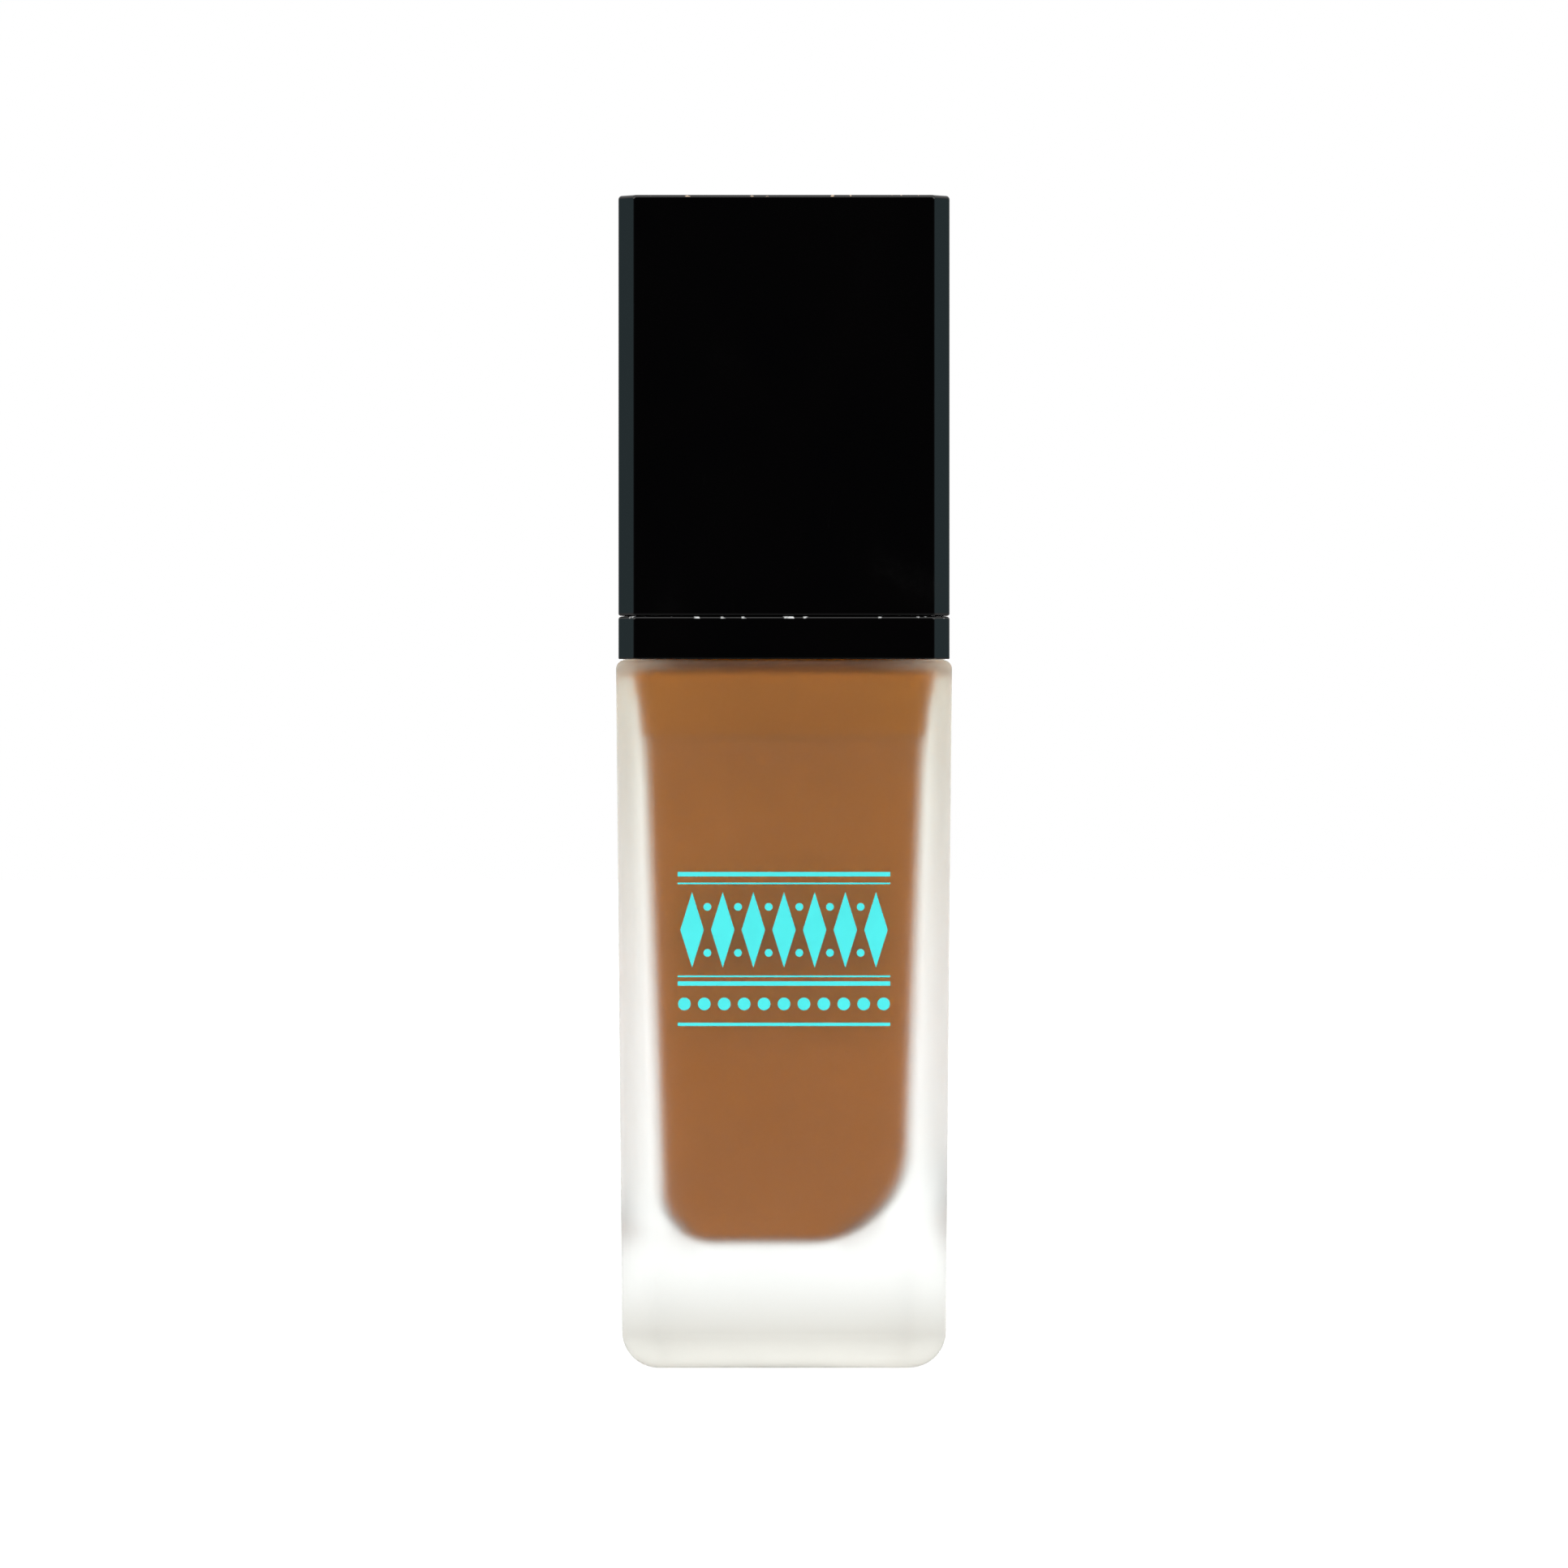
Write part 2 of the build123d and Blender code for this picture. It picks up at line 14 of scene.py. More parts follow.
import bmesh
import bpy
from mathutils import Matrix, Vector


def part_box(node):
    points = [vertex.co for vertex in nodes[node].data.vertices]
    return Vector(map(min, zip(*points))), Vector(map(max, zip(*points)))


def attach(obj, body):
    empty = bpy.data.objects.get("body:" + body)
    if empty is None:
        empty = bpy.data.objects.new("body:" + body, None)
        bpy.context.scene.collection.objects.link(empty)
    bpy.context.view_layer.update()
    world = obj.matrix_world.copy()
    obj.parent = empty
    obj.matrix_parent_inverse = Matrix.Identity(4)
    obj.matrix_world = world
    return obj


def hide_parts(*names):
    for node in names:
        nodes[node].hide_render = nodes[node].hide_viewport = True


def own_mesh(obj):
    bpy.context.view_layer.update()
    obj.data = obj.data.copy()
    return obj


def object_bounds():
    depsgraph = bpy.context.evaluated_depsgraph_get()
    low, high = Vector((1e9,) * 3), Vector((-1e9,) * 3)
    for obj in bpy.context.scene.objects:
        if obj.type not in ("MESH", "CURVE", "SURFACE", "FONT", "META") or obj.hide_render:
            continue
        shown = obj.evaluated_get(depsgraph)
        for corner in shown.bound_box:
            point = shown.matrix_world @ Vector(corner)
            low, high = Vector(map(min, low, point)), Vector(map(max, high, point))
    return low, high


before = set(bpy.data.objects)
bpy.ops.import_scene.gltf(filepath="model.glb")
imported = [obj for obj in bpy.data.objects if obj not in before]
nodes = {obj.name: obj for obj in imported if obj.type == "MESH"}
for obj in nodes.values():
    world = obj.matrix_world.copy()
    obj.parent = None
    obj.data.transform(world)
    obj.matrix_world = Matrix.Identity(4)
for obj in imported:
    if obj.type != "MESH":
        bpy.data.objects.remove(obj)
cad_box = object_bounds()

MM = 0.001
print("size in mm:", [round((high - low) / MM, 1) for low, high in zip(*cad_box)])

# %% [markdown]
# ## Camera
#
# Bottles are usually photographed from far away with a long lens, so that their upright edges stay
# parallel. A short lens close by would show the top of the cap and make the sides converge. So the
# camera stands 0.85 m in front, only 4 mm above the middle of the bottle, and its focal length is
# worked out from the width of the scene that it should take in at the bottle's front face.

# %% Camera
foot, crown = cad_box[0][2], cad_box[1][2]
VIEW_DISTANCE = 0.85
VIEW_WIDTH = 0.1534
AIM_DROP = 0.2 * MM
EYE_RISE = 4 * MM
VIEW_CENTRE = Vector((0.0, 0.0, (foot + crown) / 2 - AIM_DROP))
front_distance = VIEW_DISTANCE + cad_box[0][1]

lens = bpy.data.cameras.new("studio_camera")
lens.sensor_width = 36.0
lens.lens = lens.sensor_width * front_distance / VIEW_WIDTH
lens.clip_start = 0.01
camera = bpy.data.objects.new("studio_camera", lens)
bpy.context.scene.collection.objects.link(camera)
camera.location = VIEW_CENTRE + Vector((0.0, -VIEW_DISTANCE, EYE_RISE))
camera.rotation_euler = (VIEW_CENTRE - camera.location).to_track_quat("-Z", "Y").to_euler()
bpy.context.scene.camera = camera
print("focal length:", round(lens.lens), "mm")

# %% [markdown]
# ## Helpers for node trees
#
# Every finish here is a tree of shader nodes, and writing one out in full hides the idea behind it.
# Small helpers carry the repeated steps: starting a material, doing a sum, multiplying masks, easing
# a value from one number to another, mixing two colours, and splitting a direction or a place into
# its axes. An operand may be a number or another node's socket.

# %% Helpers for materials, sums and masks
def new_material(name):
    """A material with an empty tree, its output and a Principled BSDF."""
    material = bpy.data.materials.new(name)
    material.use_nodes = True
    tree = material.node_tree
    tree.nodes.clear()
    output = tree.nodes.new("ShaderNodeOutputMaterial")
    shader = tree.nodes.new("ShaderNodeBsdfPrincipled")
    tree.links.new(shader.outputs["BSDF"], output.inputs["Surface"])
    return material, tree, shader


def feed(tree, socket, value):
    """Sets a socket to a number or colour, or links another socket to it."""
    if isinstance(value, bpy.types.NodeSocket):
        tree.links.new(value, socket)
    else:
        socket.default_value = value


def sum_node(tree, operation, *operands):
    """One Math node, such as ADD or GREATER_THAN, and its result."""
    node = tree.nodes.new("ShaderNodeMath")
    node.operation = operation
    for socket, value in zip(node.inputs, operands):
        feed(tree, socket, value)
    return node.outputs["Value"]


def product(tree, first, *others):
    """All the operands multiplied together, which also cuts masks down by each other."""
    for other in others:
        first = sum_node(tree, "MULTIPLY", first, other)
    return first


def ease(tree, value, low, high, to_low=0.0, to_high=1.0):
    """A smooth step from to_low to to_high while value goes from low to high."""
    node = tree.nodes.new("ShaderNodeMapRange")
    node.interpolation_type = "SMOOTHSTEP"
    feed(tree, node.inputs["Value"], value)
    feed(tree, node.inputs["From Min"], low)
    feed(tree, node.inputs["From Max"], high)
    feed(tree, node.inputs["To Min"], to_low)
    feed(tree, node.inputs["To Max"], to_high)
    return node.outputs["Result"]

# %% Helpers for colours, axes and pieces
def mix_colours(tree, share, first, second):
    """first where share is 0, second where it is 1."""
    node = tree.nodes.new("ShaderNodeMix")
    node.data_type = "RGBA"
    feed(tree, node.inputs[0], share)
    feed(tree, node.inputs[6], first)
    feed(tree, node.inputs[7], second)
    return node.outputs[2]


def along_axes(tree, vector):
    """The X, Y and Z of a vector socket."""
    node = tree.nodes.new("ShaderNodeSeparateXYZ")
    tree.links.new(vector, node.inputs[0])
    return node.outputs


def object_place(tree):
    """The place on the piece, in metres, which stays put when the piece moves."""
    return tree.nodes.new("ShaderNodeTexCoord").outputs["Object"]


def finish_pieces(material, *names):
    """Puts one material on every slot of the pieces named."""
    for name in names:
        for place in nodes[name].material_slots:
            place.material = material
    print(material.name, "on", ", ".join(names))

# %% [markdown]
# ## Studio light
#
# Glass and polished black show hardly any colour of their own: they show the room. This room is
# drawn into the world as brightness by direction, which is softer than any lamp.
# A bright wall behind the bottle and an even glow at its sides make the frosted walls shine. The
# opaque liquid can only be lit from in front, but light from straight ahead would lie on the frosted
# front as a grey veil. So the front is dark, with a ring of strong light banks well off the axis:
# they reach the liquid, and what the glass mirrors of them misses the lens.

# %% Directions in the studio
world = bpy.data.worlds.new("studio")
bpy.context.scene.world = world
world.use_nodes = True
room = world.node_tree
room.nodes.clear()
towards = along_axes(room, room.nodes.new("ShaderNodeTexCoord").outputs["Generated"])
to_front = sum_node(room, "MULTIPLY", towards["Y"], -1.0)
to_side = sum_node(room, "ABSOLUTE", towards["X"])
off_horizon = sum_node(room, "ABSOLUTE", towards["Z"])


def within(angle, soft_edge):
    """The cosines between which a card of this half angle fades out, in degrees."""
    return math.cos(math.radians(angle + soft_edge)), math.cos(math.radians(angle))

# %% Light round the bottle
BACK_WALL = (1.80, 1.80, 1.79, 1)
SIDE_GLOW = (1.00, 1.00, 1.00, 1)
LIGHT_BANKS = (4.80, 4.80, 4.75, 1)
FRONT_FILL = (0.03, 0.03, 0.03, 1)
STRIP = (0.12, 0.12, 0.13, 1)

sides = mix_colours(room, ease(room, to_front, -0.20, 0.05), BACK_WALL, SIDE_GLOW)
banked = mix_colours(room, ease(room, to_front, 0.10, 0.36), sides, LIGHT_BANKS)
near_horizon = ease(room, off_horizon, 0.10, 0.22, 1.0, 0.0)
in_front = ease(room, to_front, 0.02, 0.15)
stripped = mix_colours(room, product(room, near_horizon, in_front), banked, STRIP)
walls_of_light = mix_colours(room, ease(room, to_front, *within(36, 24)), stripped, FRONT_FILL)
print("back wall:", BACK_WALL[0], "light banks:", LIGHT_BANKS[0], "front fill:", FRONT_FILL[0])

# %% [markdown]
# The cap is square with 45 degree corners, so each of its faces mirrors one small part of the room,
# and that part is all that it shows. A black card round the lens keeps its flat front black. Two
# cool flags at the far left and right turn the corners into slate bands. The dark strip at the
# horizon, made above, keeps bright lines off its upright edges.

# %% Cards and flags
CARD = (0.010, 0.010, 0.012, 1)
FLAG = (0.66, 0.96, 1.04, 1)

flagged = mix_colours(room, ease(room, to_side, *within(12, 12)), walls_of_light, FLAG)
carded = mix_colours(room, ease(room, to_front, *within(8, 14)), flagged, CARD)
lights = room.nodes.new("ShaderNodeBackground")
room.links.new(carded, lights.inputs["Color"])

# %% [markdown]
# The camera itself should see a clean white sweep behind the bottle, not the cards. The Light Path
# node tells which rays come straight from the camera, and those get plain white.

# %% White sweep for the camera
sweep = room.nodes.new("ShaderNodeBackground")
sweep.inputs["Color"].default_value = (1, 1, 1, 1)
ray = room.nodes.new("ShaderNodeLightPath")
choice = room.nodes.new("ShaderNodeMixShader")
room.links.new(ray.outputs["Is Camera Ray"], choice.inputs[0])
room.links.new(lights.outputs[0], choice.inputs[1])
room.links.new(sweep.outputs[0], choice.inputs[2])
sky = room.nodes.new("ShaderNodeOutputWorld")
room.links.new(choice.outputs[0], sky.inputs["Surface"])
bpy.context.scene.view_settings.view_transform = "Standard"
print("view transform:", bpy.context.scene.view_settings.view_transform)

# %% [markdown]
# ## Floor
#
# The bottle stands on a light table that glows from below, so that it runs out into the white sweep
# without a horizon. Only the camera sees it glow everywhere. To the rays that the glass bends, it
# glows beside and behind the bottle, which is what makes the side walls white. It is dark under the
# foot, which draws the heel and keeps the thick glass from vanishing into white, and dark in front,
# where its light would lie on the frosted front. It is a wide disc, and it isn't part of the object.

# %% Disc of the light table
disc = bmesh.new()
bmesh.ops.create_circle(disc, cap_ends=True, segments=96, radius=3.0)
floor_mesh = bpy.data.meshes.new("studio_floor")
disc.to_mesh(floor_mesh)
disc.free()
floor = bpy.data.objects.new("studio_floor", floor_mesh)
bpy.context.scene.collection.objects.link(floor)
floor.location.z = foot - 0.02 * MM
print("light table:", len(floor_mesh.polygons), "face")

# %% Glow of the light table
CAMERA_GLOW = 0.97
BESIDE_GLOW = 0.85
FRONT_GLOW = 0.03

card, tree, shader = new_material("white_card")
paper = tree.nodes.new("ShaderNodeTexNoise")
paper.inputs["Scale"].default_value = 900.0
feed(tree, shader.inputs["Base Color"], (0.04, 0.04, 0.039, 1))
feed(tree, shader.inputs["Roughness"], ease(tree, paper.outputs["Fac"], 0.3, 0.7, 0.85, 0.95))
feed(tree, shader.inputs["Emission Color"], (1, 1, 1, 1))
on_card = object_place(tree)
off_axis = tree.nodes.new("ShaderNodeVectorMath")
off_axis.operation = "LENGTH"
tree.links.new(on_card, off_axis.inputs[0])
# Under the foot the glow fades out: a painted shadow of the bottle on the table.
clear_of_foot = ease(tree, off_axis.outputs["Value"], 14 * MM, 60 * MM, 0.0, BESIDE_GLOW)
behind_front = ease(tree, along_axes(tree, on_card)["Y"], -120 * MM, -20 * MM, FRONT_GLOW, 1.0)
hidden_light = product(tree, clear_of_foot, behind_front)
ray = tree.nodes.new("ShaderNodeLightPath")
seen_light = product(tree, ray.outputs["Is Camera Ray"], CAMERA_GLOW)
feed(tree, shader.inputs["Emission Strength"], sum_node(tree, "MAXIMUM", seen_light, hidden_light))
floor_mesh.materials.append(card)
print("glow for the camera:", CAMERA_GLOW, "beside the bottle:", BESIDE_GLOW, "in front:", FRONT_GLOW)

# %% [markdown]
# ## Effects that several finishes share
#
# A shader node group is built once, gets named inputs, and is then placed in each material with its
# own numbers. `new_group` makes the shell of one, and `use_group` places it.
# All of them work from object coordinates, which are metres on these pieces. So a grain size of
# 0.0002 is 0.2 mm on every piece, and the texture stays put when a piece moves.

# %% Making and using a group
def new_group(name, inputs, outputs):
    """A shader node group with named numbers in, named sockets out, and object coordinates."""
    group = bpy.data.node_groups.new(name, "ShaderNodeTree")
    for label, value in inputs.items():
        socket = group.interface.new_socket(label, in_out="INPUT", socket_type="NodeSocketFloat")
        socket.default_value = value
    for label in outputs:
        group.interface.new_socket(label, in_out="OUTPUT", socket_type="NodeSocketFloat")
    start = group.nodes.new("NodeGroupInput")
    end = group.nodes.new("NodeGroupOutput")
    return group, start.outputs, end.inputs, object_place(group)


def use_group(tree, group, **numbers):
    """Places a group in a material; grain_size=0.0002 sets the input called Grain size."""
    node = tree.nodes.new("ShaderNodeGroup")
    node.node_tree = group
    for label, value in numbers.items():
        feed(tree, node.inputs[label.replace("_", " ").capitalize()], value)
    return node.outputs

# %% Helpers for places and noise
def off_centre(tree, spot):
    """How far a place is from the middle across the flats, the larger of |X| and |Y|."""
    across = sum_node(tree, "ABSOLUTE", spot["X"])
    along = sum_node(tree, "ABSOLUTE", spot["Y"])
    return sum_node(tree, "MAXIMUM", across, along)


def noise_at(tree, place, scale, detail=2.0, distortion=0.0):
    """A noise value from 0 to 1 at a place, with this many features to the metre."""
    node = tree.nodes.new("ShaderNodeTexNoise")
    tree.links.new(place, node.inputs["Vector"])
    feed(tree, node.inputs["Scale"], scale)
    feed(tree, node.inputs["Detail"], detail)
    feed(tree, node.inputs["Distortion"], distortion)
    return node.outputs["Fac"]

# %% [markdown]
# ### Grain
#
# Acid frosting on glass, the spark-eroded face of a mould and the skin of a foam washer all share
# one thing: a fine random relief of one typical size. Two octaves of noise give the relief, and a
# slower noise makes it deeper in one place than in another, because no etching bath or mould is even.

# %% Group: grain
grain, given, result, place = new_group("grain", {"Grain size": 0.0002, "Unevenness": 0.5}, ["Height"])
fineness = sum_node(grain, "DIVIDE", 1.0, given["Grain size"])
relief = noise_at(grain, place, fineness, detail=3.0)
patches = noise_at(grain, place, sum_node(grain, "MULTIPLY", fineness, 0.06))
patchy = sum_node(grain, "SUBTRACT", patches, 0.5)
depth = sum_node(grain, "MULTIPLY_ADD", patchy, given["Unevenness"], 1.0)
feed(grain, result["Height"], product(grain, relief, depth))

# %% [markdown]
# ### Tone drift
#
# Colour is never quite even: pigment settles, plastic flows and cools, foam ages. This group gives a
# slow, cloudy value round 0.5 to mix two near colours by.

# %% Group: tone drift
drift, given, result, place = new_group(
    "tone_drift", {"Cloud size": 0.01, "Contrast": 1.0}, ["Value"])
clouds = noise_at(drift, place, sum_node(drift, "DIVIDE", 1.0, given["Cloud size"]), 4.0, 0.6)
off_middle = sum_node(drift, "SUBTRACT", clouds, 0.5)
swing = sum_node(drift, "MULTIPLY_ADD", off_middle, given["Contrast"], 0.5)
feed(drift, result["Value"], ease(drift, swing, 0.0, 1.0))

# %% [markdown]
# ### Handling marks
#
# A cap is gripped each time the bottle is used. Fingers leave broad, soft smears that dull the
# polish, cloths and handbags leave hair-thin scratches, and dust sits on top of both. Smears come
# from a slow, warped noise with most of it cut away. Scratches are the zero lines of a noise that is
# stretched along one direction. Dust is the few cells of a Voronoi pattern whose random number is
# high, kept only near the middle of the cell.

# %% Group: handling marks, the smears
marks, given, result, place = new_group(
    "handling_marks", {"Smears": 1.0, "Scratches": 1.0, "Dust": 1.0}, ["Dulling", "Scratch", "Speck"])
smear = ease(marks, noise_at(marks, place, 70.0, 2.0, 0.5), 0.50, 0.80)
ridges = ease(marks, noise_at(marks, place, 1400.0, 1.0), 0.3, 0.7, 0.6, 1.0)
feed(marks, result["Dulling"], product(marks, smear, ridges, given["Smears"]))

# %% Group: handling marks, the scratches
stretch = marks.nodes.new("ShaderNodeMapping")
stretch.inputs["Scale"].default_value = (900.0, 900.0, 40.0)
stretch.inputs["Rotation"].default_value = (0.3, 0.5, 0.2)
marks.links.new(place, stretch.inputs["Vector"])
streaks = noise_at(marks, stretch.outputs[0], 1.0, 0.0)
lines = sum_node(marks, "ABSOLUTE", sum_node(marks, "SUBTRACT", streaks, 0.5))
sparse = ease(marks, noise_at(marks, place, 120.0), 0.50, 0.62)
thin = ease(marks, lines, 0.0, 0.006, 1.0, 0.0)
feed(marks, result["Scratch"], product(marks, thin, sparse, given["Scratches"]))

# %% Group: handling marks, the dust
cells = marks.nodes.new("ShaderNodeTexVoronoi")
cells.inputs["Scale"].default_value = 420.0
marks.links.new(place, cells.inputs["Vector"])
lot = marks.nodes.new("ShaderNodeSeparateColor")
marks.links.new(cells.outputs["Color"], lot.inputs[0])
chosen = sum_node(marks, "GREATER_THAN", lot.outputs[0], 0.90)
speck_size = sum_node(marks, "MULTIPLY_ADD", lot.outputs[1], 0.035, 0.012)
speck = sum_node(marks, "LESS_THAN", cells.outputs["Distance"], speck_size)
feed(marks, result["Speck"], product(marks, speck, chosen, given["Dust"]))

# %% [markdown]
# ### Lint along an edge
#
# The sharp upper edges of the collar and the cap carry a broken row of pale flecks: partly lint,
# scraped off whatever touches them, and partly painted glints, where the edge would catch the light.
# The mask is a narrow band at one height, cut into dashes by a noise that runs along the edge. A level
# face lies wholly in such a band, so the direction of the surface keeps the mask off it, and a
# distance keeps it off the round pieces inside the rim.

# %% Group: edge lint and painted glints, where they can sit
RIM = 14.5 * MM
LEVEL = 0.95

lint_and_glint_group, given, result, place = new_group(
    "edge_lint_and_glints", {"Edge height": 0.1, "Band": 0.0002, "Sparseness": 0.6}, ["Mask"])
spot = along_axes(lint_and_glint_group, place)
off_edge = sum_node(lint_and_glint_group, "ABSOLUTE", sum_node(lint_and_glint_group, "SUBTRACT", spot["Z"], given["Edge height"]))
in_band = sum_node(lint_and_glint_group, "LESS_THAN", off_edge, given["Band"])
facing = along_axes(lint_and_glint_group, lint_and_glint_group.nodes.new("ShaderNodeNewGeometry").outputs["Normal"])
off_top = sum_node(lint_and_glint_group, "LESS_THAN", facing["Z"], LEVEL)
on_rim = sum_node(lint_and_glint_group, "GREATER_THAN", off_centre(lint_and_glint_group, spot), RIM)

# %% Group: edge lint and painted glints, broken into dashes
dashes = noise_at(lint_and_glint_group, place, 750.0, 2.0)
edge_of_dash = sum_node(lint_and_glint_group, "ADD", given["Sparseness"], 0.06)
broken = ease(lint_and_glint_group, dashes, given["Sparseness"], edge_of_dash)
feed(lint_and_glint_group, result["Mask"], product(lint_and_glint_group, in_band, off_top, on_rim, broken))
print("node groups:", [group.name for group in bpy.data.node_groups])

# %% [markdown]
# ### Bump
#
# A Bump node turns a height into a normal. Its Distance is the real depth of the relief, so a depth
# of 0.000003 m is three thousandths of a millimetre.

# %% Bump helper
def emboss(tree, shader, height, depth, strength=1.0):
    """Feeds the shader's Normal with a relief of this depth in metres."""
    bump = tree.nodes.new("ShaderNodeBump")
    bump.inputs["Strength"].default_value = strength
    bump.inputs["Distance"].default_value = depth
    tree.links.new(height, bump.inputs["Height"])
    tree.links.new(bump.outputs["Normal"], shader.inputs["Normal"])

# %% [markdown]
# ## Frosted glass
#
# The bottle is pressed and blown from clear flint glass and then dipped in acid, which roughens the
# outside and leaves the inside bright. So one material needs two surfaces. Both are the same glass,
# with plain transmission and an index of 1.5, and only Roughness differs: it is driven by a mask
# that knows from the object coordinates whether a point is on the outside or in the chamber.
# Frosting must not be faked with a white coat. The blur that it gives to the liquid's outline comes
# from light bending at random in the rough outer face, and it grows with the thickness of the wall.

# %% Where the glass is etched
INSIDE_REACH = 14.35 * MM
CHAMBER_FLOOR = 12.1 * MM
CHAMBER_DOME = 70.85 * MM
NECK_BORE = 5.6 * MM

glass, tree, shader = new_material("frosted_glass")
at = along_axes(tree, object_place(tree))
reach = off_centre(tree, at)
flat_walls = sum_node(tree, "GREATER_THAN", reach, INSIDE_REACH)
under_floor = sum_node(tree, "LESS_THAN", at["Z"], CHAMBER_FLOOR)
above_dome = sum_node(tree, "GREATER_THAN", at["Z"], CHAMBER_DOME)
outside_bore = sum_node(tree, "GREATER_THAN", reach, NECK_BORE)
neck = product(tree, above_dome, outside_bore)
etched = sum_node(tree, "MAXIMUM", sum_node(tree, "MAXIMUM", flat_walls, under_floor), neck)

# %% [markdown]
# Acid bites unevenly: a little deeper towards the shoulder, and deepest along its edge, while hands
# polish the walls again where they hold them. Roughness adds these up, and takes them off again
# where the mask says inside.

# %% Depth of the frosting
MIRROR_SMOOTH = 0.05

etch = use_group(tree, grain, grain_size=0.09 * MM, unevenness=0.5)["Height"]
wear = use_group(tree, marks, smears=1.0, scratches=0.0, dust=0.0)["Dulling"]
deeper = ease(tree, at["Z"], 57 * MM, 67 * MM, 0.54, 0.66)
bitten = ease(tree, at["Z"], 67.8 * MM, 68.8 * MM, 0.0, 0.20)
frost = sum_node(tree, "MULTIPLY_ADD", etch, 0.05, sum_node(tree, "ADD", deeper, bitten))
handled = sum_node(tree, "MULTIPLY_ADD", wear, -0.04, frost)
roughness = sum_node(tree, "MAXIMUM", product(tree, etched, handled), MIRROR_SMOOTH)
feed(tree, shader.inputs["Roughness"], roughness)
emboss(tree, shader, product(tree, etch, etched), 0.002 * MM)

# %% [markdown]
# The glass gets a painted tint by height: a painted warm cast under the collar, and painted shade in
# the foot, where light drains away into the table. Base Color tints light once at each surface that it
# crosses, so a tint that changes with height gives both tones without a second material.

# %% Tone of the glass, with a painted warm cast and painted shade
CLEAR = (0.975, 0.998, 0.985, 1)
# Warm tint under the collar: a painted warm cast.
PAINTED_WARM_CAST = (0.90, 0.94, 0.86, 1)
# Grey of the foot: painted shade, where light would drain into the table.
PAINTED_FOOT_SHADE = (0.45, 0.435, 0.385, 1)

warm_cast_share = ease(tree, at["Z"], 30 * MM, 75 * MM)
foot_shade_share = ease(tree, at["Z"], -1.0 * MM, 11.5 * MM, 1.0, 0.0)
tint_with_warm_cast = mix_colours(tree, warm_cast_share, CLEAR, PAINTED_WARM_CAST)
feed(tree, shader.inputs["Base Color"], mix_colours(tree, foot_shade_share, tint_with_warm_cast, PAINTED_FOOT_SHADE))
shader.inputs["Transmission Weight"].default_value = 1.0
shader.inputs["IOR"].default_value = 1.5
finish_pieces(glass, "glass_bottle")

# %% [markdown]
# ## The liquid
#
# Foundation is a dense emulsion of pigment: opaque within a tenth of a millimetre, and satin. The
# construction model keeps it a twentieth of a millimetre off the glass, and that hair of air is worth
# keeping. Behind the front wall it changes nothing, but the side walls are seen edge on, and there
# the air mirrors the studio along the inside of the glass, so they stay bright right up to the brown.
# With the pigment touching the glass, the side walls would drink its colour and turn brown too.
# The pigment is lighter and warmer than the brown that is seen through the frosting, since the wall
# takes light away and lays a little grey over the rest. It darkens towards the bottom, where the
# heavier pigment settles, and drifts very slightly, where oil has begun to rise between shakes.

# %% Foundation
liquid, tree, shader = new_material("foundation")
clouded = use_group(tree, drift, cloud_size=9 * MM, contrast=1.6)["Value"]
streaked = use_group(tree, grain, grain_size=0.5 * MM, unevenness=0.8)["Height"]
blend = sum_node(tree, "MULTIPLY_ADD", streaked, 0.2, product(tree, clouded, 0.8))
fresh = mix_colours(tree, blend, (0.620, 0.192, 0.010, 1), (0.650, 0.203, 0.014, 1))
settled = mix_colours(tree, blend, (0.500, 0.150, 0.004, 1), (0.525, 0.159, 0.006, 1))
at = along_axes(tree, object_place(tree))
brown = mix_colours(tree, ease(tree, at["Z"], 10 * MM, 50 * MM), settled, fresh)
feed(tree, shader.inputs["Roughness"], ease(tree, clouded, 0.0, 1.0, 0.46, 0.54))
shader.inputs["Specular IOR Level"].default_value = 0.1
emboss(tree, shader, streaked, 0.004 * MM)

# %% [markdown]
# The top of the front and back walls flares outwards, and there an air gap would mirror the light
# banks overhead as a pale band. So in that band the filling made below touches the glass. Pigment
# that touches glass shows brighter than pigment behind air, so a painted shade is mixed into its brown
# there, and the two browns meet without a step.

# %% Painted shade where the front touches the glass
FLARE_EDGE = 62.0 * MM
on_front = sum_node(
    tree, "GREATER_THAN", sum_node(tree, "ABSOLUTE", at["Y"]), sum_node(tree, "ABSOLUTE", at["X"]))
above_edge = ease(tree, at["Z"], FLARE_EDGE - 0.4 * MM, FLARE_EDGE + 0.1 * MM)
below_shoulder = ease(tree, at["Z"], 67.3 * MM, 68.2 * MM, 1.0, 0.0)
# A darker brown: painted shade that evens out the brighter look of pigment on the glass.
shaded_touching_brown = mix_colours(tree, blend, (0.434, 0.146, 0.013, 1), (0.455, 0.154, 0.017, 1))
on_glass = product(tree, on_front, above_edge, below_shoulder)
feed(tree, shader.inputs["Base Color"], mix_colours(tree, on_glass, brown, shaded_touching_brown))
print("nodes in the foundation:", len(tree.nodes))

# %% [markdown]
# ### Where the liquid wets the glass
#
# The air gap only pays off along the upright walls. On the rounded edges of the floor and under the
# shoulder it would act as a mirror too, and there it would mirror the black collar and the shaded
# table as a dark rim. In those places a real filling touches the glass.
# The construction model's own mesh has to stay as it is, so the filling shown here is a copy of it
# that stands in for it. Four kinds of point are pushed outwards by a little more than the air gap:
# those under the shoulder, those on the flared top of the front and back, those on the front and
# back edges of the floor, which are low down and lean forwards or backwards, and those on the
# flattest part of the round heels. On the steeper part they would stain the side walls.

# %% The filling
WETTING = 0.07 * MM
SHOULDER_EDGE = 67.95 * MM
FLOOR_EDGE = 13.6 * MM
STEEPEST_HEEL = -0.70
FLATTEST_HEEL = -0.97

